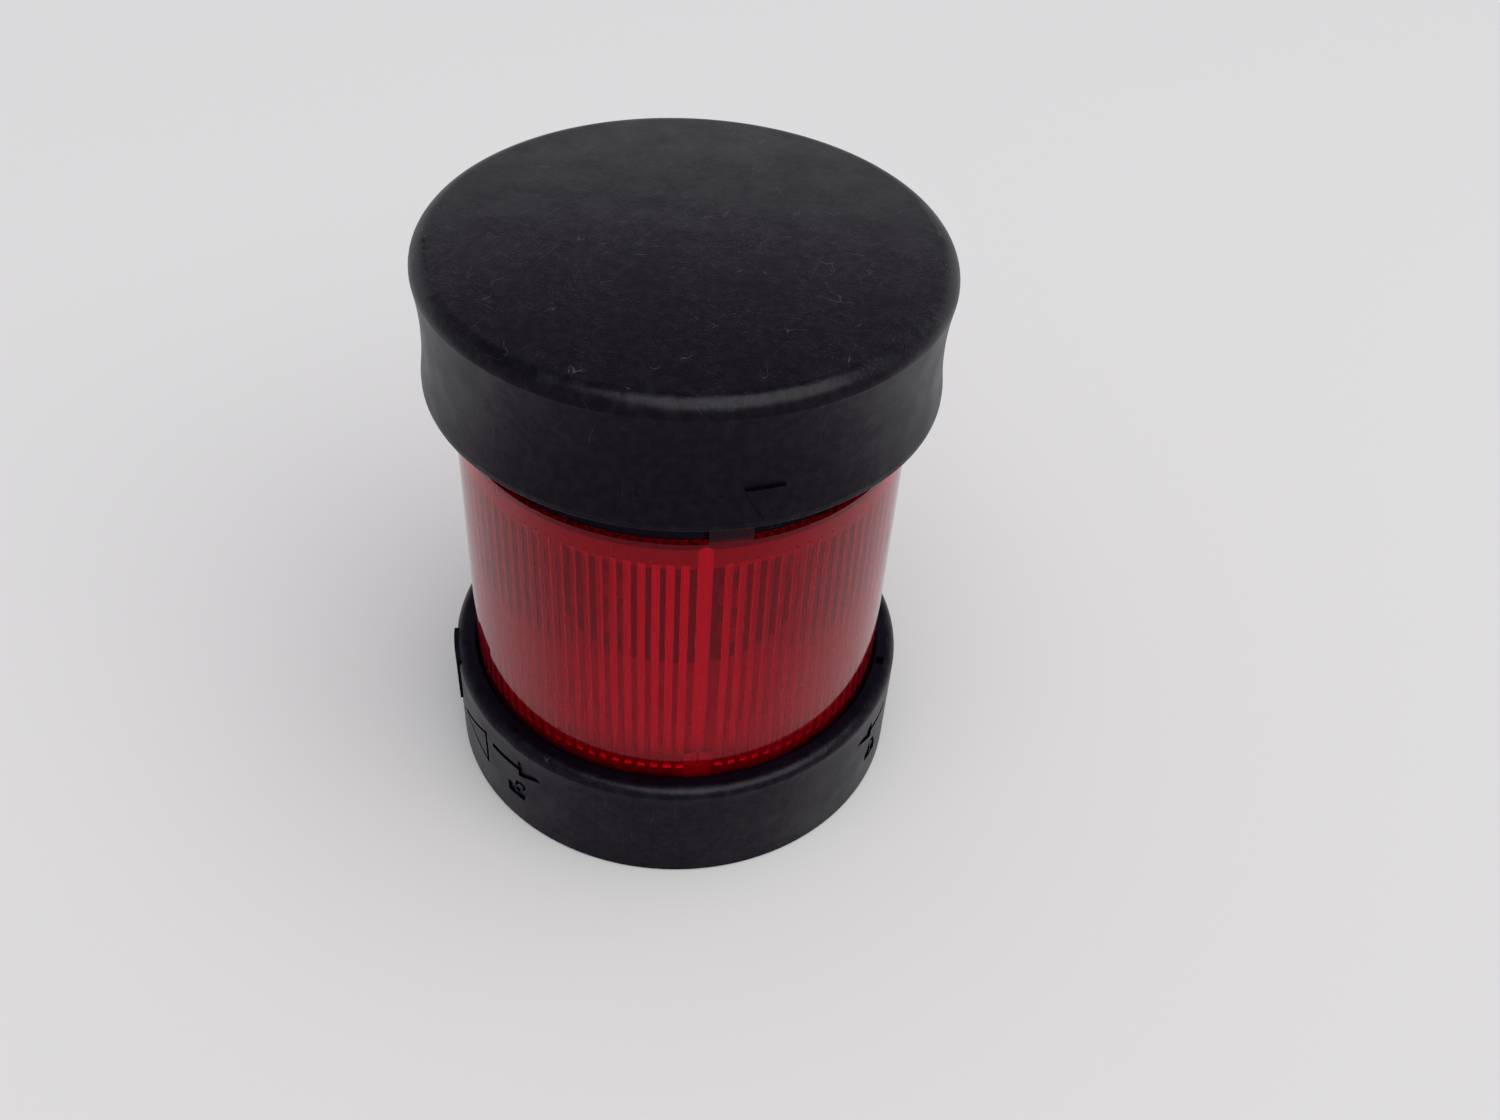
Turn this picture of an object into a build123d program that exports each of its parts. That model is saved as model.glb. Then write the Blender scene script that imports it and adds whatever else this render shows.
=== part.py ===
"""LED light element of a 70 mm signal tower, with its end cap fitted.

All sizes are in millimetres and all angles in degrees. +Z is up along the tower's axis, the
origin is on that axis in the plane of the lock ring's lower edge, and -Y is the front.
A clear red lens, ribbed inside, stands in a black twist-lock ring and carries the cap on a
bayonet neck. A hexagonal column of LED boards stands inside it between two white reflectors,
on a contact carrier that closes the lens below.
"""

import math
import os

from build123d import *

# ---- driving dimensions -------------------------------------------------------------------
ring_radius = 35.0
ring_height = 18.6
lens_radius = 31.6
shoulder_height = 63.7
cap_radius = 35.3
cap_bottom = 69.0
rim_height = 88.1
crown_height = 89.3

# ---- walls, gaps and levels that follow from them -----------------------------------------
running_gap = 0.15
lens_inner_radius = lens_radius - 1.7
lens_ceiling = shoulder_height - 1.8
neck_radius = lens_radius - 1.6
neck_inner_radius = neck_radius - 2.0
neck_top = cap_bottom + 10.0
flange_radius = lens_radius + 1.5
flange_bottom = 12.3
flange_top = 14.2
carrier_bottom = flange_bottom + 0.1
carrier_top = 15.0
board_thickness = 1.6
column_bottom = carrier_top + board_thickness
column_top = 70.0
top_board_top = column_top + 1.4
top_carrier_top = neck_top - 1.0

# ---- bayonet: the ring's lugs below and the cap's lugs above share these sizes ------------
sectors = 3
lug_arc = 18.0
lug_inner_radius = neck_radius + 0.4
lug_height = 2.2
lug_lift = 1.6
neck_lug_arc = 24.0
neck_lug_radius = neck_radius + 2.4
neck_lug_bottom = cap_bottom + lug_lift + lug_height + 0.2
lock_turn = 24.0
index_angle = -69.5
neck_lug_angle = index_angle - lock_turn
tab_start_angle = -79.7
tab_arc = 10.5

# ---- ribs on the lens's inner face: each sector has one wide rib in place of two ------------
rib_pitch = 120 / 34
rib_steps = [0] + list(range(3, 34))
first_rib_angle = -84.6
rib_width = 1.1
rib_bottom = 19.2
rib_top = lens_ceiling - 2.6
wide_rib_angle = -79.8
wide_rib_width = 2.0

# ---- column of LED boards -----------------------------------------------------------------
column_faces = 6
column_apothem = 15.6
column_wall = 2.0
strip_width = 14.0
strip_bottom = 20.0
strip_height = 40.0
strip_thickness = 1.0
led_rows = 4
led_spacing = 7.0
lowest_led = 33.5
led_size = (1.9, 3.5, 2.8)
led_window_radius = 1.2
led_window_depth = 0.7
reflector_radius = lens_inner_radius - 1.3
reflector_hole = 18.9
reflector_wall = 1.0
screw_circle = 13.2
screw_radius = 1.1
screw_hole_radius = 1.15
boss_radius = 2.4
first_screw_angle = 30.0

# ---- contacts -----------------------------------------------------------------------------
contact_count = 8
contact_circle = 20.0
blade_size = (0.6, 3.5)
blade_bottom = 4.0
rail_circle = 6.0
rail_size = (0.8, 2.4)

os.makedirs("parts", exist_ok=True)


def save(piece, label):
    """Labels a finished piece and writes it to its own STEP file."""
    piece.label = label
    export_step(piece, f"parts/{label}.step")


def annular_sector(inner_radius, outer_radius, start_angle, arc_size):
    """A flat piece of a ring, between two radii and two angles."""
    with BuildSketch() as sector:
        with BuildLine():
            outer = CenterArc((0, 0), outer_radius, start_angle, arc_size)
            inner = CenterArc((0, 0), inner_radius, start_angle, arc_size)
            Line(outer @ 0, inner @ 0)
            Line(outer @ 1, inner @ 1)
        make_face()
    return sector.sketch


def lug_ring(inner_radius, outer_radius, middle_angle, arc_size):
    """Equal ring sectors, one in each sector of the bayonet."""
    with BuildSketch() as lugs:
        for sector in range(sectors):
            middle = middle_angle + sector * 360 / sectors
            add(annular_sector(inner_radius, outer_radius, middle - arc_size / 2, arc_size))
    return lugs.sketch


def radial_plane(angle, radius, height):
    """A plane that faces outwards at an angle round the axis, with its Y axis up."""
    outward = Vector(math.cos(math.radians(angle)), math.sin(math.radians(angle)), 0)
    sideways = Vector(-outward.Y, outward.X, 0)
    return Plane(outward * radius + Vector(0, 0, height), x_dir=sideways, z_dir=outward)


def wall_relief(outlines, start_radius, layer):
    """Extrudes flat outlines outwards through a wall and keeps what lies in a layer of it.

    Each outline is (angle, height, sketch), and is drawn as seen from outside.
    """
    with BuildPart() as relief:
        for angle, height, outline in outlines:
            with BuildSketch(radial_plane(angle, start_radius, height)):
                add(outline)
            extrude(amount=8)
        add(layer, mode=Mode.INTERSECT)
    return relief.part


def triangle_outline(width, height, line):
    """An outline of a triangle that points to -X, drawn with a line of constant width."""
    with BuildSketch() as outline:
        with BuildLine():
            Polyline((-width / 2, 0), (width / 2, -height / 2), (width / 2, height / 2), close=True)
        make_face()
        offset(amount=-line, kind=Kind.INTERSECTION, mode=Mode.SUBTRACT)
    return outline.sketch


def arrow_shape(length, shaft, head_height, head_length, direction):
    """A solid arrow along X, pointing to +X for direction 1 and to -X for direction -1."""
    tip = direction * length / 2
    neck = tip - direction * head_length
    with BuildSketch() as arrow:
        with BuildLine():
            Polyline(
                (-tip, -shaft / 2),
                (neck, -shaft / 2),
                (neck, -head_height / 2),
                (tip, 0),
                (neck, head_height / 2),
                (neck, shaft / 2),
                (-tip, shaft / 2),
                close=True,
            )
        make_face()
    return arrow.sketch


def padlock_shape(shackle_shift):
    """A padlock pictogram 3.6 wide, whose shackle moves sideways to show it open."""
    with BuildSketch() as padlock:
        with Locations((0, -0.7)):
            Rectangle(3.6, 2.2)
        with Locations((shackle_shift, 0.4)):
            SlotCenterToCenter(1.2, 2.2, rotation=90)
            SlotCenterToCenter(1.2, 1.1, rotation=90, mode=Mode.SUBTRACT)
        with Locations((0, -0.7)):
            Rectangle(3.6, 2.2)
            Circle(0.35, mode=Mode.SUBTRACT)
    return padlock.sketch


# ==== lens: clear red shell with its flange, ribs, shoulder, bayonet neck and stop tabs =====
def prism_outline(width):
    """A right-angled rib section that points to -X, with its root sunk 0.2 into the wall."""
    with BuildSketch() as outline:
        Polygon((0.2, -width / 2 - 0.2), (0.2, width / 2 + 0.2), (-width / 2, 0), align=None)
    return outline.sketch


with BuildPart() as lens:
    with BuildSketch(Plane.XZ):
        with BuildLine():
            Polyline(
                (lens_inner_radius, flange_bottom),
                (flange_radius, flange_bottom),
                (flange_radius, flange_top),
                (lens_radius, flange_top),
                (lens_radius, shoulder_height),
                (neck_radius, shoulder_height),
                (neck_radius, neck_top),
                (neck_inner_radius, neck_top),
                (neck_inner_radius, lens_ceiling),
                (lens_inner_radius, lens_ceiling),
                close=True,
            )
        make_face()
    revolve(axis=Axis.Z)
    with BuildSketch(Plane.XY.offset(neck_lug_bottom)):
        add(lug_ring(neck_radius - 1, neck_lug_radius, neck_lug_angle, neck_lug_arc))
    extrude(amount=lug_height)
    stop_arc = 2.0
    stop_angle = neck_lug_angle - neck_lug_arc / 2 + stop_arc / 2
    with BuildSketch(Plane.XY.offset(cap_bottom + lug_lift)):
        add(lug_ring(neck_radius - 1, neck_lug_radius, stop_angle, stop_arc))
    extrude(amount=lug_height + 0.2)
    tab_height = 4.3
    with BuildSketch(Plane.XY.offset(shoulder_height)):
        add(lug_ring(lens_radius - 0.6, lens_radius, tab_start_angle + tab_arc / 2, tab_arc))
    extrude(amount=tab_height)
    # The ring's stop runs in this notch of the flange, from one end to the other.
    notch_angle = 30.0
    notch_margin = 3.0
    with BuildSketch(Plane.XY.offset(flange_bottom)):
        add(
            annular_sector(
                lens_radius + 0.6,
                flange_radius + 1,
                notch_angle - lock_turn - notch_margin,
                lock_turn + 2 * notch_margin,
            )
        )
    extrude(amount=flange_top - flange_bottom, mode=Mode.SUBTRACT)
    # Right-angled prism ribs throw the light back. The wide ones reach the ceiling and stand
    # on a foot.
    with BuildSketch(Plane.XY.offset(rib_bottom)):
        for step in rib_steps:
            angle = first_rib_angle + step * rib_pitch
            with PolarLocations(lens_inner_radius, sectors, angle):
                add(prism_outline(rib_width))
    extrude(amount=rib_top - rib_bottom)
    with BuildSketch(Plane.XY.offset(rib_bottom)):
        with PolarLocations(lens_inner_radius, sectors, wide_rib_angle):
            add(prism_outline(wide_rib_width))
    extrude(amount=lens_ceiling - rib_bottom)
    foot_width, foot_depth = 4.0, 0.8
    with BuildSketch(Plane.XY.offset(carrier_top + 0.2)):
        with PolarLocations(lens_inner_radius, sectors, wide_rib_angle):
            Rectangle(2 * foot_depth, foot_width)
    extrude(amount=rib_bottom + 3.0 - carrier_top)
save(lens.part, "lens")

# ==== seal on the lens's shoulder, round the neck ==========================================
seal_width = 0.92
with BuildPart() as neck_seal:
    with BuildSketch(Plane.XZ):
        with Locations((neck_radius + seal_width / 2, shoulder_height)):
            RectangleRounded(seal_width, 3.2, 0.4, align=(Align.CENTER, Align.MIN))
    revolve(axis=Axis.Z)
save(neck_seal.part, "neck_seal")

# ==== contact carrier: black disc that closes the lens below ===============================
groove_radius = 28.5
with BuildPart() as contact_carrier:
    with BuildSketch(Plane.XY.offset(carrier_bottom)):
        Circle(lens_inner_radius - 0.1)
    extrude(amount=carrier_top - carrier_bottom)
    # Stiffening rings under the disc, one each side of the blades.
    for rib_radius in (17.2, 22.8):
        with BuildSketch(Plane.XY.offset(carrier_bottom - 1.2)):
            Circle(rib_radius + 0.5)
            Circle(rib_radius - 0.5, mode=Mode.SUBTRACT)
        extrude(amount=1.2)
    with BuildSketch(Plane.XZ):
        with Locations((groove_radius, (carrier_bottom + carrier_top) / 2)):
            Rectangle(4, 1.3, align=(Align.MIN, Align.CENTER))
    revolve(axis=Axis.Z, mode=Mode.SUBTRACT)
    with BuildSketch(Plane.XY.offset(carrier_bottom)):
        with PolarLocations(contact_circle, contact_count):
            Rectangle(*blade_size)
        with PolarLocations(screw_circle, sectors, first_screw_angle):
            Circle(screw_hole_radius + 0.1)
    extrude(amount=carrier_top - carrier_bottom, mode=Mode.SUBTRACT)
save(contact_carrier.part, "contact_carrier")

with BuildPart() as carrier_seal:
    with BuildSketch(Plane.XZ):
        with Locations((groove_radius + 0.62, (carrier_bottom + carrier_top) / 2)):
            Circle(0.6)
    revolve(axis=Axis.Z)
save(carrier_seal.part, "carrier_seal")

# ==== contact blades: pass down through the carrier into the element below =================
with BuildPart() as contact_blades:
    with BuildSketch(Plane.XY.offset(blade_bottom)):
        with PolarLocations(contact_circle, contact_count):
            Rectangle(*blade_size)
    extrude(amount=carrier_top - blade_bottom)
    tip_edges = contact_blades.edges().group_by(Axis.Z)[0].filter_by(
        lambda edge: edge.length > blade_size[0] * 2
    )
    chamfer(tip_edges, 0.2)
save(contact_blades.part, "contact_blades")

# ==== base board, with the driver parts on its upper face ==================================
with BuildPart() as base_board:
    with BuildSketch(Plane.XY.offset(carrier_top)):
        Circle(27.2)
        with PolarLocations(screw_circle, sectors, first_screw_angle):
            Circle(screw_hole_radius + 0.15, mode=Mode.SUBTRACT)
        with Locations((-27.2, 0)):
            Rectangle(2.4, 3, mode=Mode.SUBTRACT)
    extrude(amount=board_thickness)
save(base_board.part, "base_board")

part_circle = 21.5
with BuildPart() as smoothing_capacitor:
    with Locations(radial_plane(0, part_circle, column_bottom).origin):
        Cylinder(3.15, 8.8, align=(Align.CENTER, Align.CENTER, Align.MIN))
    fillet(smoothing_capacitor.edges().group_by(Axis.Z)[-1], 0.6)
    with BuildSketch(Plane.XY.offset(column_bottom + 1.3)):
        with Locations((part_circle, 0)):
            Circle(3.6)
            Circle(2.9, mode=Mode.SUBTRACT)
    extrude(amount=0.5, mode=Mode.SUBTRACT)
save(smoothing_capacitor.part, "smoothing_capacitor")

with BuildPart() as surge_varistor:
    with BuildSketch(radial_plane(60, part_circle - 1.4, column_bottom + 5.2)):
        Circle(4.2)
    extrude(amount=2.8)
    fillet(surge_varistor.edges(), 1.0)
    for side in (-1, 1):
        with BuildSketch(radial_plane(60, part_circle, column_bottom)):
            with Locations((side * 2.2, 0)):
                Rectangle(0.6, 2.6, align=(Align.CENTER, Align.MIN))
        extrude(amount=0.6, both=True)
save(surge_varistor.part, "surge_varistor")

with BuildPart() as bridge_rectifier:
    with BuildSketch(radial_plane(120, part_circle, column_bottom)):
        Rectangle(8.2, 6.4, align=(Align.CENTER, Align.MIN))
    extrude(amount=1.6, both=True)
    chamfer(bridge_rectifier.edges().group_by(Axis.Z)[-1], 0.5)
save(bridge_rectifier.part, "bridge_rectifier")

with BuildPart() as current_regulator:
    with BuildSketch(radial_plane(180, part_circle, column_bottom)):
        Rectangle(6.6, 6.2, align=(Align.CENTER, Align.MIN))
    extrude(amount=1.15, both=True)
    with BuildSketch(radial_plane(180, part_circle + 1.15, column_bottom)):
        Rectangle(5.6, 9.0, align=(Align.CENTER, Align.MIN))
        with Locations((0, 7.4)):
            Circle(0.9, mode=Mode.SUBTRACT)
    extrude(amount=0.6)
save(current_regulator.part, "current_regulator")

with BuildPart() as ballast_resistors:
    for angle in (226, 240, 254, 286, 300, 314):
        with BuildSketch(radial_plane(angle, part_circle - 3.2, column_bottom + 1.35)):
            Circle(1.25)
        extrude(amount=6.4)
    fillet(ballast_resistors.edges().filter_by(GeomType.CIRCLE), 0.4)
save(ballast_resistors.part, "ballast_resistors")

# ==== column: black hexagonal tube that carries the LED boards =============================
def column_outline(apothem):
    """The column's hexagon, with one flat facing +X."""
    with BuildSketch() as outline:
        RegularPolygon(
            apothem, column_faces, major_radius=False, rotation=180 / column_faces
        )
    return outline.sketch


with BuildPart() as led_column:
    with BuildSketch(Plane.XY.offset(column_bottom)):
        add(column_outline(column_apothem))
        add(column_outline(column_apothem - column_wall), mode=Mode.SUBTRACT)
        with PolarLocations(screw_circle, sectors, first_screw_angle):
            Circle(boss_radius)
            Circle(screw_hole_radius, mode=Mode.SUBTRACT)
    extrude(amount=column_top - column_bottom)
    # The bosses are only at the two ends, so the middle of each is cut back to the tube.
    with BuildSketch(Plane.XY.offset(column_bottom + 12)):
        add(column_outline(column_apothem - column_wall))
    extrude(amount=column_top - column_bottom - 24, mode=Mode.SUBTRACT)
save(led_column.part, "led_column")

with BuildPart() as strip_boards:
    with BuildSketch(Plane.XY.offset(strip_bottom)):
        with PolarLocations(column_apothem + strip_thickness / 2, column_faces):
            Rectangle(strip_thickness, strip_width)
    extrude(amount=strip_height)
save(strip_boards.part, "strip_boards")


def led_positions():
    """The angle round the axis and the height of every LED on the column."""
    for face in range(column_faces):
        for row in range(led_rows):
            yield face * 360 / column_faces, lowest_led + row * led_spacing


led_face = column_apothem + strip_thickness
with BuildPart() as led_packages:
    for angle, height in led_positions():
        with BuildSketch(radial_plane(angle, led_face, height)):
            Rectangle(led_size[1], led_size[2])
        extrude(amount=led_size[0])
    for angle, height in led_positions():
        with BuildSketch(radial_plane(angle, led_face + led_size[0], height)):
            Circle(led_window_radius)
        extrude(amount=-led_window_depth, mode=Mode.SUBTRACT)
save(led_packages.part, "led_packages")

with BuildPart() as led_windows:
    for angle, height in led_positions():
        with BuildSketch(radial_plane(angle, led_face + led_size[0], height)):
            Circle(led_window_radius)
        extrude(amount=-led_window_depth)
save(led_windows.part, "led_windows")

with BuildPart() as strip_pins:
    for face in range(column_faces):
        for side in (-2.54, 0, 2.54):
            with BuildSketch(radial_plane(face * 360 / column_faces, led_face, column_bottom)):
                with Locations((side, 0)):
                    Rectangle(0.6, 5.2, align=(Align.CENTER, Align.MIN))
            extrude(amount=0.6)
save(strip_pins.part, "strip_pins")

# ==== white reflectors: a cover over the driver parts, and a ring under the neck ===========
with BuildPart() as base_reflector:
    with BuildSketch(Plane.XZ):
        with BuildLine():
            Polyline(
                (reflector_radius - reflector_wall, carrier_top + 0.1),
                (reflector_radius, carrier_top + 0.1),
                (reflector_radius, 27.0),
                (reflector_hole, 29.5),
                (reflector_hole, 29.5 - reflector_wall),
                (reflector_radius - reflector_wall, 27.0 - reflector_wall),
                close=True,
            )
        make_face()
    revolve(axis=Axis.Z)
save(base_reflector.part, "base_reflector")

with BuildPart() as top_reflector:
    with BuildSketch(Plane.XZ):
        with BuildLine():
            Polyline(
                (reflector_radius, 57.4),
                (reflector_radius, lens_ceiling - 0.1),
                (reflector_radius - reflector_wall, lens_ceiling - 0.1),
                (reflector_radius - reflector_wall, 59.4),
                (reflector_hole, 59.4),
                (reflector_hole, 59.4 - reflector_wall),
                (reflector_radius - 2 * reflector_wall, 57.4),
                close=True,
            )
        make_face()
    revolve(axis=Axis.Z)
save(top_reflector.part, "top_reflector")

# ==== rails that feed the next element up, inside the column ===============================
with BuildPart() as feed_rails:
    with BuildSketch(Plane.XY.offset(column_bottom)):
        with PolarLocations(rail_circle, contact_count):
            Rectangle(*rail_size)
    extrude(amount=column_top - column_bottom)
save(feed_rails.part, "feed_rails")

# ==== top board, contact clips and the carrier that closes the neck ========================
with BuildPart() as top_board:
    with BuildSketch(Plane.XY.offset(column_top)):
        Circle(neck_inner_radius - 1.0)
        with PolarLocations(screw_circle, sectors, first_screw_angle):
            Circle(screw_hole_radius + 0.15, mode=Mode.SUBTRACT)
    extrude(amount=top_board_top - column_top)
save(top_board.part, "top_board")

clip_leaf = 0.4
clip_gap = 0.8
with BuildPart() as contact_clips:
    with BuildSketch(Plane.XY.offset(top_board_top)):
        with PolarLocations(contact_circle, contact_count):
            Rectangle(clip_gap + 2 * clip_leaf, 3.2)
    extrude(amount=5.6)
    with BuildSketch(Plane.XY.offset(top_board_top + 0.6)):
        with PolarLocations(contact_circle, contact_count):
            Rectangle(clip_gap, 3.2)
    extrude(amount=5.0, mode=Mode.SUBTRACT)
save(contact_clips.part, "contact_clips")

slot_size = (clip_gap + 2 * clip_leaf + 0.2, 3.8)
head_radius = 2.3
head_height = 1.6
with BuildPart() as top_carrier:
    with BuildSketch(Plane.XY.offset(top_board_top + 2.6)):
        Circle(neck_inner_radius - 0.1)
    extrude(amount=top_carrier_top - top_board_top - 2.6)
    with BuildSketch(Plane.XY.offset(top_board_top)):
        Circle(neck_inner_radius - 1.6)
        Circle(neck_inner_radius - 3.0, mode=Mode.SUBTRACT)
        Circle(5.0)
        with PolarLocations(screw_circle, sectors, first_screw_angle):
            Circle(boss_radius + 0.6)
    extrude(amount=2.6)
    with BuildSketch(Plane.XY.offset(top_board_top)):
        with PolarLocations(contact_circle, contact_count):
            Rectangle(*slot_size)
        with PolarLocations(screw_circle, sectors, first_screw_angle):
            Circle(screw_hole_radius + 0.15)
    extrude(amount=top_carrier_top - top_board_top, mode=Mode.SUBTRACT)
    with BuildSketch(Plane.XY.offset(top_carrier_top)):
        with PolarLocations(screw_circle, sectors, first_screw_angle):
            Circle(head_radius + 0.2)
    extrude(amount=-head_height - 0.2, mode=Mode.SUBTRACT)
    # A shallow ring step round the contacts keeps the two elements' faces aligned.
    with BuildSketch(Plane.XY.offset(top_carrier_top)):
        Circle(17.8)
        Circle(16.6, mode=Mode.SUBTRACT)
        Circle(23.4)
        Circle(22.2, mode=Mode.SUBTRACT)
    extrude(amount=-1.4, mode=Mode.SUBTRACT)
save(top_carrier.part, "top_carrier")


def pan_head_screws(seat_height, shank_height, head_side):
    """Three cross-recessed screws whose heads rest on one side of a flat seat."""
    with BuildPart() as screws:
        with BuildSketch(Plane.XY.offset(seat_height)):
            with PolarLocations(screw_circle, sectors, first_screw_angle):
                Circle(head_radius)
        extrude(amount=head_side * head_height)
        outer_plane = Plane.XY.offset(seat_height + head_side * head_height)
        rim = screws.edges().filter_by(GeomType.CIRCLE).filter_by_position(
            Axis.Z, outer_plane.origin.Z - 0.01, outer_plane.origin.Z + 0.01
        )
        fillet(rim, 0.6)
        with BuildSketch(outer_plane):
            with PolarLocations(screw_circle, sectors, first_screw_angle):
                Rectangle(2.2, 0.5)
                Rectangle(0.5, 2.2)
        extrude(amount=-head_side * 0.8, mode=Mode.SUBTRACT)
        with BuildSketch(Plane.XY.offset(seat_height)):
            with PolarLocations(screw_circle, sectors, first_screw_angle):
                Circle(screw_radius)
        extrude(amount=-head_side * shank_height)
        ends = screws.edges().filter_by(GeomType.CIRCLE).filter_by_position(
            Axis.Z,
            seat_height - head_side * shank_height - 0.01,
            seat_height - head_side * shank_height + 0.01,
        )
        chamfer(ends, 0.3)
    return screws.part


save(pan_head_screws(carrier_bottom, 11.0, -1), "carrier_screws")
save(pan_head_screws(top_carrier_top - head_height - 0.2, 13.0, 1), "top_carrier_screws")

# ==== lock ring: turns on the lens's flange and locks on to the element below ==============
ring_ceiling = flange_top + 0.2
ring_inner_radius = ring_radius - 1.6
ring_mouth_radius = lens_radius + running_gap
mark_depth = 0.3
pad_angle, pad_width, pad_bottom, pad_lift = -166.3, 7.2, 9.6, 0.35
with BuildPart() as mark_layer:
    Cylinder(ring_radius + 1, 3 * ring_height)
    Cylinder(ring_radius - mark_depth, 3 * ring_height, mode=Mode.SUBTRACT)

with BuildPart() as lock_ring:
    with BuildSketch(Plane.XZ):
        with BuildLine():
            Polyline(
                (ring_inner_radius, 0),
                (ring_radius, 0),
                (ring_radius, ring_height),
                (ring_mouth_radius, ring_height),
                (ring_mouth_radius, ring_ceiling),
                (ring_inner_radius, ring_ceiling),
                close=True,
            )
        make_face()
    revolve(axis=Axis.Z)
    top_edges = lock_ring.edges().group_by(Axis.Z)[-1].sort_by(SortBy.RADIUS)
    fillet(top_edges[-1], 1.5)
    chamfer(lock_ring.edges().group_by(Axis.Z)[-1].sort_by(SortBy.RADIUS)[0], 0.3)
    fillet(lock_ring.edges().group_by(Axis.Z)[0].sort_by(SortBy.RADIUS)[-1], 0.4)
    # Bayonet lugs, snap ledges under the flange, and the stop that runs in its notch.
    with BuildSketch(Plane.XY.offset(lug_lift)):
        add(lug_ring(lug_inner_radius, ring_inner_radius + 0.5, index_angle, lug_arc))
    extrude(amount=lug_height)
    with BuildSketch(Plane.XY.offset(flange_bottom - 1.7)):
        add(lug_ring(flange_radius - 0.9, ring_inner_radius + 0.5, index_angle + 60, 30))
    extrude(amount=1.5)
    with BuildSketch(Plane.XY.offset(flange_bottom - 0.2)):
        add(annular_sector(flange_radius - 0.6, ring_inner_radius + 0.5, notch_angle - 1.5, 3))
    extrude(amount=ring_ceiling - flange_bottom + 0.2)
    # A raised pad beside the triangle, and a sunk register mark in the top face.
    with BuildSketch(Plane.XY.offset(pad_bottom)):
        pad_arc = math.degrees(pad_width / ring_radius)
        pad_start = pad_angle - pad_arc / 2
        add(annular_sector(ring_radius - 1.4, ring_radius + pad_lift, pad_start, pad_arc))
    extrude(amount=ring_height - pad_bottom - 0.5)
    with BuildSketch(Plane.XY.offset(ring_height)):
        with PolarLocations(32.9, 1, -10):
            Rectangle(1.2, 1.5)
    extrude(amount=-1.2, mode=Mode.SUBTRACT)
    # Sunk marks: a pointer, then an arrow and a padlock for each way the ring turns.
    marks = [
        (-148.4, 10.4, triangle_outline(9.4, 7.2, 0.45)),
        (-129.0, 12.9, arrow_shape(10.6, 0.8, 3.4, 4.4, 1)),
        (-129.0, 7.6, padlock_shape(1.0)),
        (-24.0, 12.9, arrow_shape(10.6, 0.8, 3.4, 4.4, -1)),
        (-24.0, 7.6, padlock_shape(0.0)),
    ]
    add(wall_relief(marks, ring_radius - 5, mark_layer.part), mode=Mode.SUBTRACT)
save(lock_ring.part, "lock_ring")

# ==== cap: black shell that closes the tower, with a raised index ==========================
cap_wall = 2.3
cap_inner_radius = cap_radius - cap_wall
rim_fillet = 2.4
waist_depth = 0.65
gasket_bottom = neck_top + 0.05
gasket_top = gasket_bottom + 1.2
# The roof is a shallow dome of even thickness that meets the rim's fillet.
rim_edge = cap_radius - rim_fillet
dome_rise = crown_height - rim_height
dome_radius = (rim_edge**2 + dome_rise**2) / (2 * dome_rise)
dome_centre = crown_height - dome_radius
dome_angle = math.degrees(math.asin(rim_edge / dome_radius))
inner_dome_radius = dome_radius - cap_wall
inner_dome_angle = math.degrees(math.asin(cap_inner_radius / inner_dome_radius))
cap_ceiling = dome_centre + inner_dome_radius * math.cos(math.radians(inner_dome_angle))
lower, upper = cap_bottom + 1.0, rim_height - rim_fillet
index_lift = 0.4
# The raised index lies in this layer, which follows the cap's waisted wall.
with BuildPart() as index_layer:
    with BuildSketch(Plane.XZ):
        with BuildLine():
            outer_face = ThreePointArc(
                (cap_radius + index_lift, lower),
                (cap_radius + index_lift - waist_depth, (lower + upper) / 2),
                (cap_radius + index_lift, upper),
            )
            Polyline(outer_face @ 1, (34.0, upper), (34.0, lower), outer_face @ 0)
        make_face()
    revolve(axis=Axis.Z)

with BuildPart() as cap:
    with BuildSketch(Plane.XZ):
        with BuildLine():
            Line((cap_inner_radius, cap_bottom), (cap_radius, cap_bottom))
            Line((cap_radius, cap_bottom), (cap_radius, lower))
            ThreePointArc(
                (cap_radius, lower),
                (cap_radius - waist_depth, (lower + upper) / 2),
                (cap_radius, upper),
            )
            CenterArc((rim_edge, upper), rim_fillet, 0, 90)
            CenterArc((0, dome_centre), dome_radius, 90 - dome_angle, dome_angle)
            Line((0, crown_height), (0, crown_height - cap_wall))
            CenterArc((0, dome_centre), inner_dome_radius, 90 - inner_dome_angle, inner_dome_angle)
            Line((cap_inner_radius, cap_ceiling), (cap_inner_radius, cap_bottom))
        make_face()
    revolve(axis=Axis.Z)
    fillet(cap.edges().group_by(Axis.Z)[0].sort_by(SortBy.RADIUS)[-1], 0.35)
    chamfer(cap.edges().group_by(Axis.Z)[0].sort_by(SortBy.RADIUS)[0], 0.4)
    with BuildSketch(Plane.XY.offset(cap_bottom + lug_lift)):
        add(lug_ring(lug_inner_radius, cap_inner_radius + 0.5, index_angle, lug_arc))
    extrude(amount=lug_height)
    # The land under the roof that presses the gasket on to the neck.
    with BuildSketch(Plane.XY.offset(gasket_top + 0.05)):
        Circle(neck_radius + 0.6)
        Circle(neck_inner_radius + 0.9, mode=Mode.SUBTRACT)
    extrude(amount=cap_ceiling - gasket_top + 0.3)
    index_width, index_height = 5.1, 4.7
    with BuildSketch() as index_shape:
        with BuildLine():
            Polyline(
                (0, -index_height / 2),
                (index_width / 2, index_height / 2),
                (-index_width / 2, index_height / 2),
                close=True,
            )
        make_face()
    add(wall_relief([(index_angle, 72.5, index_shape.sketch)], 30.0, index_layer.part))
save(cap.part, "cap")

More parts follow.
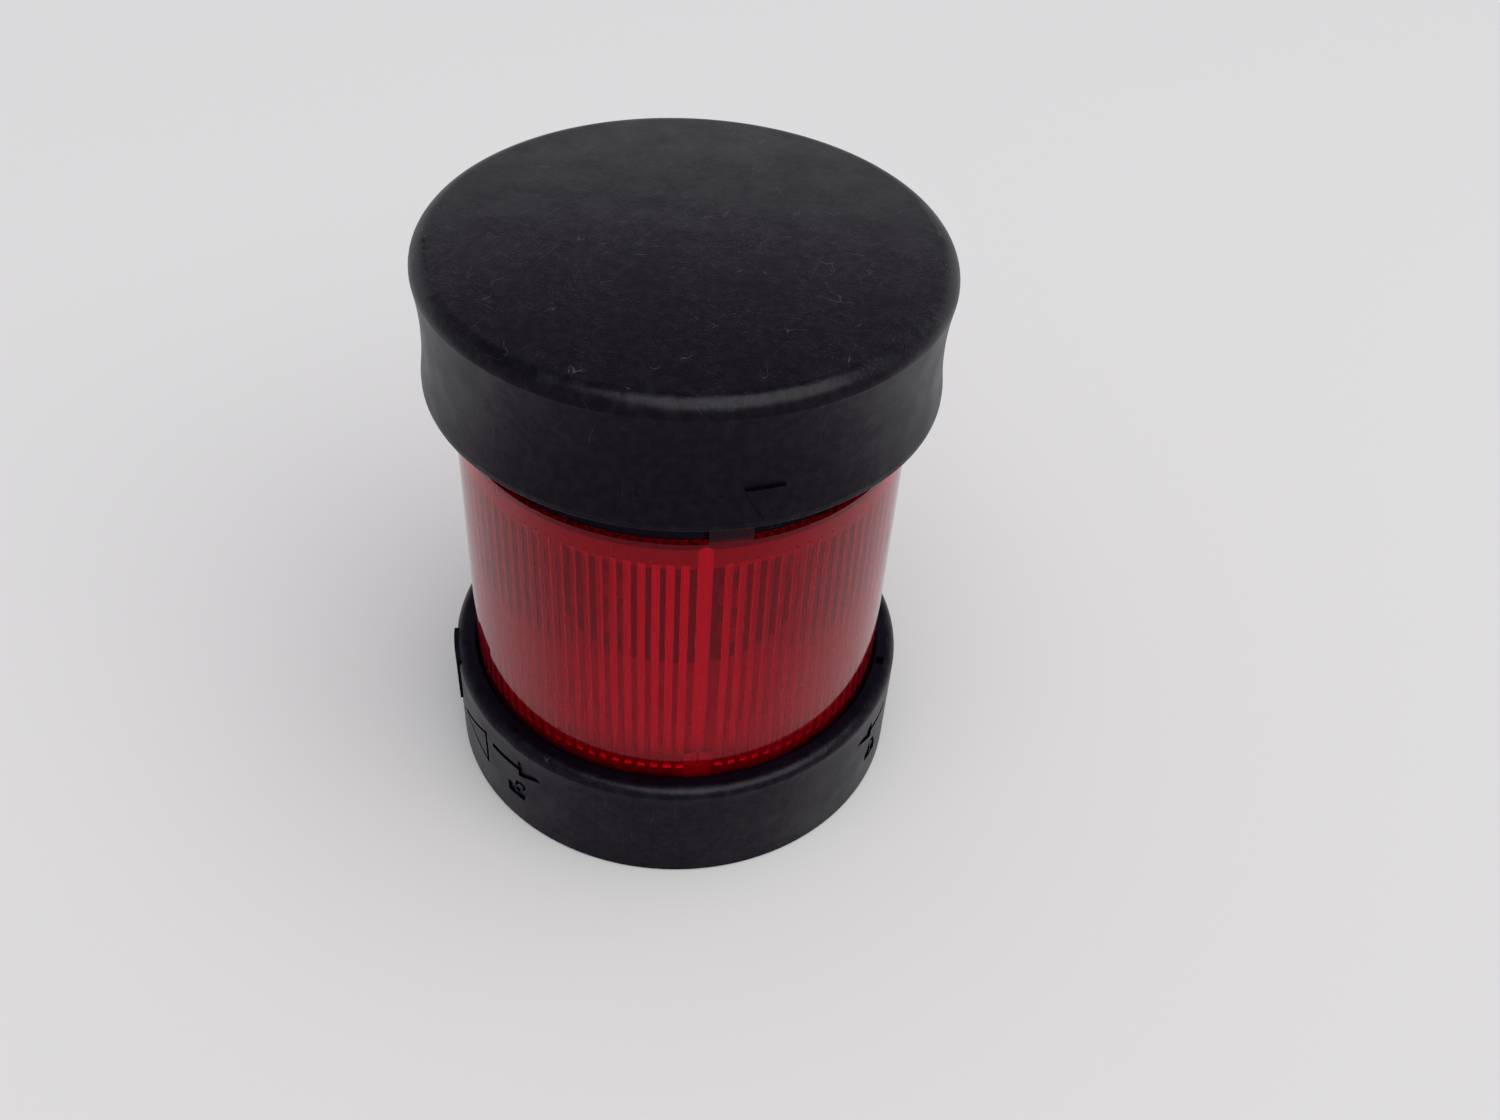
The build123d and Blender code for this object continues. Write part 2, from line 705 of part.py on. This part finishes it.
# ==== gasket that the cap carries on top of the neck =======================================
with BuildPart() as cap_gasket:
    with BuildSketch(Plane.XY.offset(gasket_bottom)):
        Circle(neck_radius + 1.0)
        Circle(neck_inner_radius + 0.3, mode=Mode.SUBTRACT)
    extrude(amount=gasket_top - gasket_bottom)
    fillet(cap_gasket.edges(), 0.3)
save(cap_gasket.part, "cap_gasket")
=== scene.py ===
"""Looks of the signal tower light element, in metres in the CAD frame: +Z up, front at -Y."""

import math

import bmesh
import bpy
from mathutils import Matrix, Vector


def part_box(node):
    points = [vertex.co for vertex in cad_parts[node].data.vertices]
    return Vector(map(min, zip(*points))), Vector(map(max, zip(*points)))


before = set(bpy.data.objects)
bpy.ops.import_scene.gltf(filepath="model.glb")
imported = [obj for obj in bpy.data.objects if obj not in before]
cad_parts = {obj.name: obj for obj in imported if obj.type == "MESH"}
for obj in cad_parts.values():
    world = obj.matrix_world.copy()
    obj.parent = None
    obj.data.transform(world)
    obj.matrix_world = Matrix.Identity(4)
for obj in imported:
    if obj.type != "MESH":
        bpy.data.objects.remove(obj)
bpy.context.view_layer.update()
MM = 0.001


# ---- contact carrier and its seal ---------------------------------------------------------
# A black glass-filled moulding that closes the lens from below, with two stiffening rings. An
# O-ring in its edge groove seals it in the lens; three screws hold it up to the LED column.
def feed(tree, socket, value):
    """Puts a value on a shader socket, or links the socket that makes it."""
    if isinstance(value, bpy.types.NodeSocket):
        tree.links.new(value, socket)
    else:
        socket.default_value = value


def add_node(tree, kind, settings=None, **inputs):
    """Adds a shader node. Each input is a value, or the socket that feeds it."""
    node = tree.nodes.new(kind)
    for key, value in (settings or {}).items():
        setattr(node, key, value)
    for key, value in inputs.items():
        feed(tree, node.inputs[key.replace("_", " ")], value)
    return node


def arithmetic(tree, operation, first, second=0.0):
    """One step of arithmetic on two sockets or numbers."""
    node = add_node(tree, "ShaderNodeMath", {"operation": operation})
    feed(tree, node.inputs[0], first)
    feed(tree, node.inputs[1], second)
    return node.outputs[0]


def times(tree, *factors):
    """The product of several sockets or numbers."""
    product = factors[0]
    for factor in factors[1:]:
        product = arithmetic(tree, "MULTIPLY", product, factor)
    return product


def stretch(tree, size, turn=0.0):
    """Object coordinates scaled so that one unit is size, in mm along X, Y and Z."""
    place = add_node(tree, "ShaderNodeTexCoord").outputs["Object"]
    turned = add_node(tree, "ShaderNodeMapping", Vector=place, Rotation=(0, 0, turn)).outputs[0]
    scale = [1 / (side * MM) for side in size]
    return add_node(tree, "ShaderNodeMapping", Vector=turned, Scale=scale).outputs[0]


def noise(tree, size, detail=3.0, turn=0.0):
    """Smooth noise whose features are about size, in mm along X, Y and Z."""
    where = stretch(tree, size, turn)
    return add_node(tree, "ShaderNodeTexNoise", Vector=where, Scale=1.0, Detail=detail).outputs[0]


def ramp(tree, value, low, high, start=0.0, end=1.0):
    """Maps low..high of a socket to start..end, and holds it there outside that range."""
    node = add_node(tree, "ShaderNodeMapRange", Value=value)
    for key, limit in zip(("From Min", "From Max", "To Min", "To Max"), (low, high, start, end)):
        feed(tree, node.inputs[key], limit)
    return node.outputs[0]


def blend_colors(tree, share, first, second):
    """A colour between first and second; each is a colour or a socket."""
    node = add_node(tree, "ShaderNodeMix", {"data_type": "RGBA"})
    feed(tree, node.inputs[0], share)
    for index, color in ((6, first), (7, second)):
        is_socket = isinstance(color, bpy.types.NodeSocket)
        feed(tree, node.inputs[index], color if is_socket else (*color, 1))
    return node.outputs[2]


def specks(tree, spacing, size, share):
    """Separate round specks, size across and about spacing apart, in mm; 1 on a speck."""
    where = stretch(tree, (spacing, spacing, spacing))
    cells = add_node(tree, "ShaderNodeTexVoronoi", Vector=where, Scale=1.0)
    near = size / (2 * spacing)
    spot = ramp(tree, cells.outputs["Distance"], near, near * 1.4, 1.0, 0.0)
    chosen = ramp(tree, cells.outputs["Color"], 1 - share, 1 - share + 0.01)
    return times(tree, spot, chosen)


def new_material(name, metallic=0.0, specular=0.5):
    """A new material, its node tree and its shader."""
    material = bpy.data.materials.new(name)
    material.use_nodes = True
    shader = material.node_tree.nodes["Principled BSDF"]
    shader.inputs["Metallic"].default_value = metallic
    shader.inputs["Specular IOR Level"].default_value = specular
    return material, material.node_tree, shader


def emboss(tree, shader, height, depth):
    """Gives a shader a fine relief, depth deep in mm."""
    bump = add_node(tree, "ShaderNodeBump", Height=height, Strength=1.0, Distance=depth * MM)
    feed(tree, shader.inputs["Normal"], bump.outputs[0])


def dusted(tree, base, amount):
    """A colour with a fine uneven film of pale dust over it."""
    film = ramp(tree, noise(tree, (0.5, 0.5, 0.5), 4.0), 0.6, 0.76, 0.0, amount)
    return blend_colors(tree, film, base, (0.35, 0.34, 0.32))


def surface(name, color, roughness, specular=0.5, grain=0.3, relief=0.004, dust=0.1):
    """A finish with fine relief, slow changes of gloss and colour, and a little pale dust."""
    material, tree, shader = new_material(name, specular=specular)
    cloud = noise(tree, (6, 6, 6), 4.0)
    pale = [min(1.0, 1.3 * part + 0.003) for part in color]
    base = blend_colors(tree, ramp(tree, cloud, 0.35, 0.7), color, pale)
    feed(tree, shader.inputs["Base Color"], dusted(tree, base, dust))
    gloss = ramp(tree, cloud, 0.3, 0.7, max(0.03, roughness - 0.06), roughness + 0.06)
    feed(tree, shader.inputs["Roughness"], gloss)
    emboss(tree, shader, noise(tree, (grain, grain, grain), 2.0), relief)
    return material


def dress(material, *names):
    """Gives CAD nodes a material in every slot."""
    for name in names:
        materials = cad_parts[name].data.materials
        for index in range(len(materials)):
            materials[index] = material


carrier_black = surface(
    "carrier_black_finish", (0.011, 0.011, 0.012), 0.55, specular=0.4, grain=0.25, relief=0.012
)
dress(carrier_black, "contact_carrier")
seal_rubber = surface(
    "seal_rubber_finish", (0.011, 0.0105, 0.0105), 0.72, specular=0.3, grain=0.15, relief=0.006
)
dress(seal_rubber, "carrier_seal")

# ---- contact blades -----------------------------------------------------------------------
# Eight tin-plated bronze blades stand through the carrier in a circle. They are stamped, and
# their lower tips are chamfered and wiped bright by the clips of the element below.
contact_tin, tree, shader = new_material("contact_tin_finish", metallic=1.0)
wiped = noise(tree, (0.12, 0.12, 5), 3.0)
share = ramp(tree, wiped, 0.4, 0.65)
tin = blend_colors(tree, share, (0.42, 0.4, 0.35), (0.66, 0.64, 0.58))
feed(tree, shader.inputs["Base Color"], tin)
feed(tree, shader.inputs["Roughness"], ramp(tree, wiped, 0.35, 0.7, 0.2, 0.42))
emboss(tree, shader, wiped, 0.003)
dress(contact_tin, "contact_blades")

# ---- carrier screws -----------------------------------------------------------------------
# Zinc-plated pan-head screws with a cross recess. They run up through the carrier and the
# base board into the foot of the LED column. The plating is cloudy, with a few dull spots.
screw_zinc, tree, shader = new_material("screw_zinc_finish", metallic=1.0)
cloudy = noise(tree, (0.9, 0.9, 0.9), 5.0)
zinc = blend_colors(tree, ramp(tree, cloudy, 0.35, 0.65), (0.34, 0.34, 0.33), (0.56, 0.56, 0.55))
dull = times(tree, specks(tree, 0.8, 0.16, 0.3), 0.6)
feed(tree, shader.inputs["Base Color"], blend_colors(tree, dull, zinc, (0.2, 0.19, 0.16)))
feed(tree, shader.inputs["Roughness"], ramp(tree, cloudy, 0.3, 0.7, 0.24, 0.46))
emboss(tree, shader, cloudy, 0.005)
dress(screw_zinc, "carrier_screws")


# ---- base board ---------------------------------------------------------------------------
# A round glass-epoxy board under green solder mask that lies on the carrier. The copper
# tracks show through the mask as a lighter green, and the tinned joints as bright dots.
def circuit_board(name, mask, track):
    """A solder mask over raised tracks, with small tinned joints."""
    material, tree, shader = new_material(name)
    where = stretch(tree, (2.6, 2.6, 2.6))
    settings = {"feature": "DISTANCE_TO_EDGE"}
    net = add_node(tree, "ShaderNodeTexVoronoi", settings, Vector=where, Scale=1.0)
    line = ramp(tree, net.outputs["Distance"], 0.05, 0.08, 1.0, 0.0)
    joint = specks(tree, 2.6, 0.7, 0.4)
    base = dusted(tree, blend_colors(tree, line, mask, track), 0.06)
    base = blend_colors(tree, joint, base, (0.5, 0.49, 0.46))
    feed(tree, shader.inputs["Base Color"], base)
    feed(tree, shader.inputs["Metallic"], joint)
    feed(tree, shader.inputs["Roughness"], ramp(tree, noise(tree, (1, 1, 1)), 0.3, 0.7, 0.25, 0.4))
    emboss(tree, shader, arithmetic(tree, "MAXIMUM", line, joint), 0.03)
    return material


board_green = circuit_board("board_green_finish", (0.008, 0.06, 0.022), (0.02, 0.13, 0.05))
dress(board_green, "base_board")

# ---- smoothing capacitor ------------------------------------------------------------------
# A radial electrolytic can in a dark shrink sleeve, crimped near its foot and soldered to the
# base board beside the column. The sleeve has a pale stripe and leaves the can's end bare.
capacitor_sleeve, tree, shader = new_material("capacitor_sleeve_finish")
sleeve_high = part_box("smoothing_capacitor")[1]
stripe_width = 0.9 * MM
sharp = 0.05 * MM
place = add_node(tree, "ShaderNodeTexCoord").outputs["Object"]
axes = add_node(tree, "ShaderNodeSeparateXYZ", Vector=place).outputs
stripe = ramp(tree, axes["Y"], sleeve_high[1] - stripe_width - sharp, sleeve_high[1] - stripe_width)
base = blend_colors(tree, stripe, (0.008, 0.01, 0.035), (0.3, 0.32, 0.36))
bare_end = ramp(tree, axes["Z"], sleeve_high[2] - 3 * sharp, sleeve_high[2] - 2 * sharp)
base = blend_colors(tree, bare_end, base, (0.6, 0.6, 0.6))
feed(tree, shader.inputs["Base Color"], base)
feed(tree, shader.inputs["Metallic"], bare_end)
shrunk = noise(tree, (1, 1, 1))
feed(tree, shader.inputs["Roughness"], ramp(tree, shrunk, 0.3, 0.7, 0.22, 0.36))
emboss(tree, shader, shrunk, 0.02)
dress(capacitor_sleeve, "smoothing_capacitor")

# ---- surge varistor -----------------------------------------------------------------------
# A disc dipped in blue epoxy that stands on two leads across the supply. The dip has left the
# coat thick and slightly lumpy.
varistor_coat = surface("varistor_coat_finish", (0.012, 0.05, 0.26), 0.26, grain=0.9, relief=0.05)
dress(varistor_coat, "surge_varistor")

# ---- bridge rectifier and current regulator -----------------------------------------------
# Two moulded epoxy packages soldered to the base board: a flat rectifier with a chamfered
# top, and a regulator with a drilled tab.
chip_black = surface("chip_black_finish", (0.013, 0.013, 0.014), 0.5, grain=0.1, relief=0.008)
dress(chip_black, "bridge_rectifier", "current_regulator")

# ---- ballast resistors --------------------------------------------------------------------
# Six metal-film resistors in pale blue lacquer that lie on the base board and point at the
# column. Each has four painted bands, given here by their distance from its inner end.
resistor_inner_end = 18.3
band_width = 0.5
bands = (
    (1.1, (0.3, 0.02, 0.01)),
    (2.3, (0.5, 0.28, 0.01)),
    (3.5, (0.01, 0.01, 0.01)),
    (5.2, (0.12, 0.04, 0.01)),
)


def axis_distance(tree):
    """Distance from the tower's axis, and height, as two sockets in metres."""
    place = add_node(tree, "ShaderNodeTexCoord").outputs["Object"]
    axes = add_node(tree, "ShaderNodeSeparateXYZ", Vector=place).outputs
    squares = [times(tree, axes[axis], axes[axis]) for axis in "XY"]
    return arithmetic(tree, "SQRT", arithmetic(tree, "ADD", *squares)), axes["Z"]


resistor_lacquer, tree, shader = new_material("resistor_lacquer_finish")
radius = axis_distance(tree)[0]
base = (0.1, 0.26, 0.36)
for start, color in bands:
    first = (resistor_inner_end + start) * MM
    last = first + band_width * MM
    begun = ramp(tree, radius, first, first + sharp)
    ended = ramp(tree, radius, last, last + sharp, 1.0, 0.0)
    base = blend_colors(tree, times(tree, begun, ended), base, color)
feed(tree, shader.inputs["Base Color"], dusted(tree, base, 0.08))
dipped = noise(tree, (0.7, 0.7, 0.7))
feed(tree, shader.inputs["Roughness"], ramp(tree, dipped, 0.3, 0.7, 0.2, 0.36))
emboss(tree, shader, dipped, 0.03)
dress(resistor_lacquer, "ballast_resistors")

# ---- base reflector -----------------------------------------------------------------------
# A white cover over the driver parts with a skirt down to the carrier. Its sloped top sends
# the LEDs' light outwards, and makes the lens's lower half look lighter.
reflector_white = surface("reflector_white_finish", (0.72, 0.72, 0.69), 0.38, grain=0.4)
dress(reflector_white, "base_reflector")

# ---- LED column ---------------------------------------------------------------------------
# A black hexagonal tube screwed to both carriers; one board stands against each of its sides.
dress(carrier_black, "led_column")

# ---- strip boards and their pins ----------------------------------------------------------
# Six narrow boards under black solder mask, each with a row of LEDs. Three pins at the foot of
# each board carry its current down to the base board.
board_black = circuit_board("board_black_finish", (0.01, 0.012, 0.011), (0.02, 0.021, 0.02))
dress(board_black, "strip_boards")
dress(contact_tin, "strip_pins")

# ---- LEDs ---------------------------------------------------------------------------------
# White surface-mount packages, each with a round window of clear resin over a red chip.
led_body = surface("led_body_finish", (0.5, 0.49, 0.46), 0.4, grain=0.1, dust=0.05)
dress(led_body, "led_packages")
led_resin = surface("led_window_finish", (0.42, 0.05, 0.03), 0.1, grain=0.5, dust=0.0)
dress(led_resin, "led_windows")

# ---- feed rails ---------------------------------------------------------------------------
# Eight tinned strips inside the column that carry the supply up to the element above.
dress(contact_tin, "feed_rails")

# ---- top reflector ------------------------------------------------------------------------
# A white ring under the lens's shoulder, round the column; its rim shows through the lens as
# the solid bright band along the top.
dress(reflector_white, "top_reflector")

# ---- top board, contact clips, top carrier and its screws ---------------------------------
# The board lies on the column and carries eight spring clips. The black carrier over it closes
# the neck, guides the next element's blades into the clips and is held by three sunk screws.
dress(board_green, "top_board")
dress(contact_tin, "contact_clips")
dress(carrier_black, "top_carrier")
dress(screw_zinc, "top_carrier_screws")


# ---- lens ---------------------------------------------------------------------------------
# Clear red polycarbonate, polished outside. The ribs inside are lightly frosted and throw the
# daylight back as bright bars, helped by a painted lighter red on them; the smooth gaps between
# them show the dark column, and their red is painted darker as painted shade. The stop tab and
# the neck above the shoulder are painted nearly black: painted shade under the cap.
def hairlines(tree, width, length, turn, rarity):
    """Fine straight scratches, width wide and about length long, in mm; 1 on a scratch."""
    lines = noise(tree, (width, length, length), 0.0, turn)
    return ramp(tree, lines, rarity, rarity + 0.02)


rib_root = 29.87
wall_middle = 31.0
shoulder = 63.8
lens_red, tree, shader = new_material("lens_red_painted_light")
shader.inputs["Transmission Weight"].default_value = 0.91
shader.inputs["IOR"].default_value = 1.45
radius, height = axis_distance(tree)
rib = ramp(tree, radius, (rib_root - 0.1) * MM, rib_root * MM, 1.0, 0.0)
inner = ramp(tree, radius, (wall_middle - 0.1) * MM, (wall_middle + 0.1) * MM, 1.0, 0.0)
above = ramp(tree, height, shoulder * MM, (shoulder + 0.2) * MM)
# Painted light in the base colour: a darker red on the inner wall as painted shade in the gaps, a
# lighter red on the ribs as painted light, and nearly black above the shoulder as painted shade
# under the cap.
base = blend_colors(tree, inner, (0.62, 0.002, 0.016), (0.45, 0.002, 0.012))
base = blend_colors(tree, rib, base, (0.86, 0.003, 0.02))
base = blend_colors(tree, above, base, (0.1, 0.002, 0.006))
feed(tree, shader.inputs["Base Color"], base)
scratches = arithmetic(
    tree, "MAXIMUM", hairlines(tree, 0.1, 6, 0.4, 0.8), hairlines(tree, 0.1, 9, 1.9, 0.81)
)
handled = ramp(tree, noise(tree, (9, 9, 9), 4.0), 0.45, 0.65, 0.05, 0.1)
outer_gloss = arithmetic(tree, "ADD", handled, times(tree, scratches, 0.2))
gloss = ramp(tree, inner, 0.0, 1.0, outer_gloss, 0.08)
feed(tree, shader.inputs["Roughness"], ramp(tree, rib, 0.0, 1.0, gloss, 0.3))
emboss(tree, shader, noise(tree, (6, 6, 12), 1.0), 0.003)
dress(lens_red, "lens")

# ---- neck seal ----------------------------------------------------------------------------
# A black rubber ring that lies on the lens's shoulder round the neck.
dress(seal_rubber, "neck_seal")


# ---- lock ring ----------------------------------------------------------------------------
# The black twist ring that locks the element on to the one below, with sunk marks for both
# ways it turns. It snaps over the lens's flange and is satin, dusty and lightly scratched.
def lint(tree, length):
    """Short curled fibres about length long, in mm; 1 on a fibre."""
    where = stretch(tree, (length, length, length))
    curl = add_node(tree, "ShaderNodeTexNoise", Vector=where, Scale=1.5).outputs["Color"]
    curled = add_node(tree, "ShaderNodeVectorMath", {"operation": "ADD"})
    feed(tree, curled.inputs[0], where)
    feed(tree, curled.inputs[1], curl)
    settings = {"feature": "DISTANCE_TO_EDGE"}
    web = add_node(tree, "ShaderNodeTexVoronoi", settings, Vector=curled.outputs[0], Scale=1.0)
    fibre = ramp(tree, web.outputs["Distance"], 0.004, 0.011, 1.0, 0.0)
    return times(tree, fibre, ramp(tree, noise(tree, (3, 3, 3), 1.0), 0.62, 0.66))


def satin_shell(name, node):
    """Black spark-eroded plastic, with dust where it faces up and a painted sheen on the upper
    edge.
    """
    edge_radius, _, edge_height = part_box(node)[1]
    material, tree, shader = new_material(name, specular=0.35)
    mottle = ramp(tree, noise(tree, (1.2, 1.2, 1.2), 6.0), 0.4, 0.62)
    base = blend_colors(tree, mottle, (0.0046, 0.0044, 0.0052), (0.0092, 0.0085, 0.0098))
    # A painted sheen: the upper outer edge is a little greyer and bluer, and smoother than the
    # rest.
    radius, height = axis_distance(tree)
    above = ramp(tree, height, edge_height - 3.4 * MM, edge_height - 1.6 * MM)
    outside = ramp(tree, radius, edge_radius - 2.6 * MM, edge_radius - 1.4 * MM)
    edge = times(tree, above, outside)
    painted_edge_sheen = times(tree, edge, ramp(tree, noise(tree, (2.5, 2.5, 2.5), 4.0), 0.45, 0.6, 0.0, 0.35))
    base = blend_colors(tree, painted_edge_sheen, base, (0.022, 0.022, 0.027))
    # Dust, specks and fibres lie mostly on what faces up.
    normal = add_node(tree, "ShaderNodeNewGeometry").outputs["Normal"]
    up = add_node(tree, "ShaderNodeSeparateXYZ", Vector=normal).outputs["Z"]
    level = ramp(tree, up, 0.1, 0.9, 0.12, 1.0)
    dust = ramp(tree, noise(tree, (0.3, 0.3, 0.3), 5.0), 0.54, 0.74, 0.0, 0.065)
    patches = ramp(tree, noise(tree, (7, 7, 7), 2.0), 0.4, 0.6, 0.25, 1.0)
    base = blend_colors(tree, times(tree, dust, patches, level), base, (0.26, 0.24, 0.27))
    for spacing, size, share, strength in ((2.2, 0.14, 0.3, 0.1), (9.0, 0.34, 0.35, 0.22)):
        spots = times(tree, specks(tree, spacing, size, share), level, strength)
        base = blend_colors(tree, spots, base, (0.5, 0.5, 0.46))
    base = blend_colors(tree, times(tree, lint(tree, 6.5), level, 0.06), base, (0.5, 0.5, 0.55))
    scratches = arithmetic(
        tree, "MAXIMUM", hairlines(tree, 0.12, 9, 0.5, 0.82), hairlines(tree, 0.1, 7, 2.1, 0.83)
    )
    base = blend_colors(tree, times(tree, scratches, 0.025), base, (0.4, 0.4, 0.45))
    feed(tree, shader.inputs["Base Color"], base)
    satin = ramp(tree, noise(tree, (5, 5, 5), 4.0), 0.35, 0.65, 0.38, 0.45)
    polish = times(tree, edge, 0.03)
    feed(tree, shader.inputs["Roughness"], arithmetic(tree, "SUBTRACT", satin, polish))
    pebble = noise(tree, (0.34, 0.34, 0.34), 2.0)
    emboss(tree, shader, arithmetic(tree, "SUBTRACT", pebble, times(tree, scratches, 0.5)), 0.018)
    return material


dress(satin_shell("ring_black_painted_sheen", "lock_ring"), "lock_ring")

# ---- cap gasket and cap -------------------------------------------------------------------
# The cap is the same black plastic with a slightly domed roof, a waisted wall and a raised
# index. Three lugs inside hold it on the neck, and it presses a rubber gasket on the rim.
dress(seal_rubber, "cap_gasket")
dress(satin_shell("cap_black_painted_sheen", "cap"), "cap")

# ---- floor --------------------------------------------------------------------------------
# A plain pale surface that the element stands on; it isn't part of the object. It is one-sided,
# so that a view from below shows the element's underside.
floor_mesh = bpy.data.meshes.new("floor")
form = bmesh.new()
bmesh.ops.create_grid(form, x_segments=1, y_segments=1, size=12.0)
form.to_mesh(floor_mesh)
form.free()
floor = bpy.data.objects.new("floor", floor_mesh)
bpy.context.scene.collection.objects.link(floor)
floor_pale, tree, shader = new_material("floor_pale", specular=0.2)
shader.inputs["Base Color"].default_value = (0.7, 0.7, 0.7, 1)
shader.inputs["Roughness"].default_value = 0.7
one_sided = add_node(tree, "ShaderNodeMixShader")
feed(tree, one_sided.inputs[0], add_node(tree, "ShaderNodeNewGeometry").outputs["Backfacing"])
feed(tree, one_sided.inputs[1], shader.outputs[0])
feed(tree, one_sided.inputs[2], add_node(tree, "ShaderNodeBsdfTransparent").outputs[0])
feed(tree, tree.nodes["Material Output"].inputs["Surface"], one_sided.outputs[0])
floor_mesh.materials.append(floor_pale)

# ---- light --------------------------------------------------------------------------------
# A soft room, pale near the horizon and dimmer above, with one large softbox up at the front.
world = bpy.data.worlds.new("room")
bpy.context.scene.world = world
world.use_nodes = True
tree = world.node_tree
direction = add_node(tree, "ShaderNodeTexCoord").outputs["Generated"]
rise = add_node(tree, "ShaderNodeSeparateXYZ", Vector=direction).outputs["Z"]
sky = blend_colors(tree, ramp(tree, rise, 0.3, 0.85), (0.95, 0.95, 0.95), (0.48, 0.46, 0.51))
feed(tree, tree.nodes["Background"].inputs["Color"], sky)
tree.nodes["Background"].inputs["Strength"].default_value = 0.81

softbox = bpy.data.lights.new("front_softbox", "AREA")
softbox.shape = "RECTANGLE"
softbox.size, softbox.size_y = 5.0, 4.4
softbox.energy = 115.0
softbox.color = (1.0, 0.99, 0.97)
lamp = bpy.data.objects.new("front_softbox", softbox)
bpy.context.scene.collection.objects.link(lamp)
lamp.location = (0.9, -1.3, 3.1)
facing = Vector((0, 0, 0.04)) - lamp.location
lamp.rotation_euler = facing.to_track_quat("-Z", "Y").to_euler()

# ---- camera -------------------------------------------------------------------------------
# It looks along +Y, steeply down, and leans a little to one side. The tone curve deepens the
# dark end slightly, with a cool cast in it.
camera_data = bpy.data.cameras.new("camera")
camera = bpy.data.objects.new("camera", camera_data)
bpy.context.scene.collection.objects.link(camera)
bpy.context.scene.camera = camera
camera_data.sensor_width = 36.0
camera_data.lens = 34.7
camera_data.clip_start = 0.01
camera_place = (0.010915, -0.163251, 0.184101)
pitch = math.radians(42.82)
roll = math.radians(4.10)
forward = Vector((0, math.cos(pitch), -math.sin(pitch)))
level_up = Vector((0, math.sin(pitch), math.cos(pitch)))
right = math.cos(roll) * Vector((1, 0, 0)) + math.sin(roll) * level_up
up = math.cos(roll) * level_up - math.sin(roll) * Vector((1, 0, 0))
aim = Matrix((right, up, -forward)).transposed().to_4x4()
camera.matrix_world = Matrix.Translation(camera_place) @ aim
view = bpy.context.scene.view_settings
view.view_transform = "Standard"
view.use_curve_mapping = True
tone = view.curve_mapping
cast = (0.0, -0.0006, 0.0018)
darker_levels = ((0.014, 0.0028), (0.033, 0.0105), (0.06, 0.043), (0.2, 0.188))
for curve, lift in zip(tone.curves, cast):
    for level, darker in darker_levels:
        curve.points.new(level, darker + lift)
tone.update()
